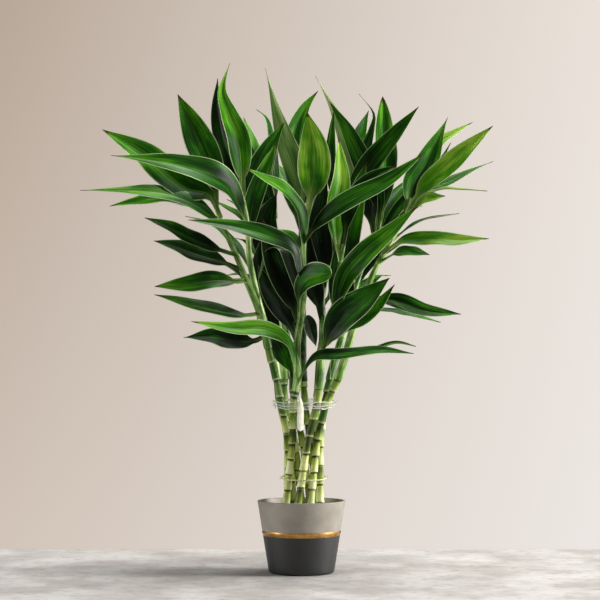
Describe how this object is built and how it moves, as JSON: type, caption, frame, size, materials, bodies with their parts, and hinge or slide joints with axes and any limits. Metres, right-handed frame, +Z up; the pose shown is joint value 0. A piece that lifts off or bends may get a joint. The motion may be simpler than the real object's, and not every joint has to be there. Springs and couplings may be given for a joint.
{
  "type": "potted lucky bamboo",
  "caption": "Twisted bundle of ringed lucky bamboo canes with long arching leaves, held by a strap and a cord, in a tapered two-tone pot.",
  "frame": {"origin": "centre of the pot's flat underside", "axes": "+Z up along the pot's axis, -Y towards the side that the picture shows, +X to its right"},
  "size_m": [0.5582, 0.3557, 0.7079],
  "materials": {
    "pot": "matte",
    "soil": "matte",
    "cord": "matte",
    "strap": "gloss",
    "cane": "satin",
    "leaf": "satin"
  },
  "bodies": {
    "root": {"pot": "pot", "soil": "soil", "tie_lower": "cord", "tie_upper": "strap", "cane_a": "cane", "cane_b": "cane", "cane_c": "cane", "cane_d": "cane", "cane_e": "cane", "cane_f": "cane", "cane_g": "cane", "cane_h": "cane", "cane_i": "cane", "cane_j": "cane", "leaves_a": "leaf", "leaves_b": "leaf", "leaves_c": "leaf", "leaves_d": "leaf", "leaves_e": "leaf", "leaves_f": "leaf", "leaves_g": "leaf", "leaves_h": "leaf", "leaves_i": "leaf", "leaves_j": "leaf"}
  },
  "joints": []
}
